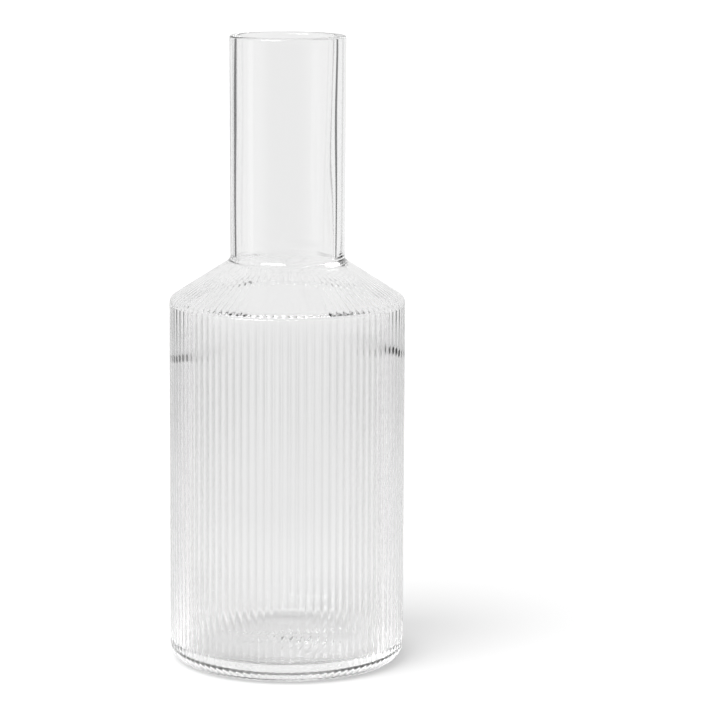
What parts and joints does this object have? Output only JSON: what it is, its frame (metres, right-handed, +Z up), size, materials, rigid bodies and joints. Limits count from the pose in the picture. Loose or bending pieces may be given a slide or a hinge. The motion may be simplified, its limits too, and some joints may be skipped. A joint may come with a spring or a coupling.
{
  "type": "glass carafe",
  "caption": "Clear blown-glass carafe with a straight, finely ribbed body, sloping shoulder, heavy base and smooth, open cylindrical neck, for serving water.",
  "frame": {"origin": "centre of the standing ring, on the surface that the carafe stands on", "axes": "+Z up along the axis of the vessel, +X to the right and -Y towards the viewer in the picture"},
  "size_m": [0.095, 0.095, 0.254],
  "materials": {
    "clear_glass": "polished, colourless"
  },
  "bodies": {
    "root": {"carafe": "clear_glass"}
  },
  "joints": []
}
